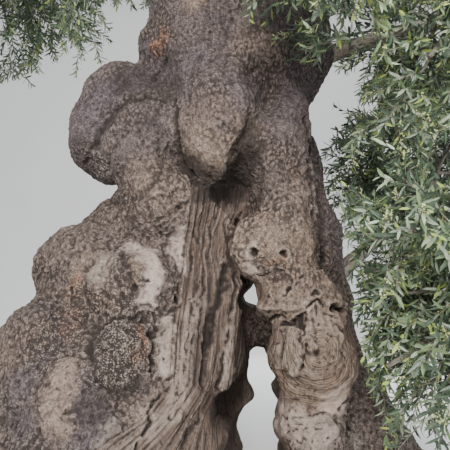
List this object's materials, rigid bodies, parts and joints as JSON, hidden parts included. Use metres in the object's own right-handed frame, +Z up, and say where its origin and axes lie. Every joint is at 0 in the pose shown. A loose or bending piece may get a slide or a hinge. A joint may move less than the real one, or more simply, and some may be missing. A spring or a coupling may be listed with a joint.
{
  "type": "olive tree",
  "caption": "Old olive tree: a flaring trunk covered in burls and split by a gap, boughs that spread from its fork and side, and masses of narrow evergreen leaves.",
  "frame": {"origin": "on the ground at the middle of the trunk's foot, on the flat cut under the trunk", "axes": "+Z up; the side that the picture shows faces -Y, and +X is to its right"},
  "size_m": [5.0873, 5.2352, 6.0825],
  "materials": {
    "bark": "rough grey-brown bark with burls, fissures and pale bare wood",
    "bough_bark": "finely fissured dark grey-brown bark",
    "foliage": "narrow leathery leaves, grey-green above and silvery below"
  },
  "bodies": {
    "root": {"trunk": "bark", "bough_back_right": "bough_bark", "bough_back": "bough_bark", "bough_left": "bough_bark", "bough_front_left": "bough_bark", "bough_front_right": "bough_bark", "bough_upper_back": "bough_bark", "bough_upper_left": "bough_bark", "bough_upper_front": "bough_bark", "bough_upper_right": "bough_bark", "bough_top": "bough_bark", "bough_right": "bough_bark", "bough_far_right": "bough_bark", "bough_near_right": "bough_bark", "bough_front_hanging": "bough_bark", "foliage_back_right": "foliage", "foliage_back": "foliage", "foliage_left": "foliage", "foliage_front_left": "foliage", "foliage_front_right": "foliage", "foliage_upper_back": "foliage", "foliage_upper_left": "foliage", "foliage_upper_front": "foliage", "foliage_upper_right": "foliage", "foliage_top": "foliage", "foliage_right": "foliage", "foliage_far_right": "foliage", "foliage_near_right": "foliage", "foliage_front_hanging": "foliage"}
  },
  "joints": []
}
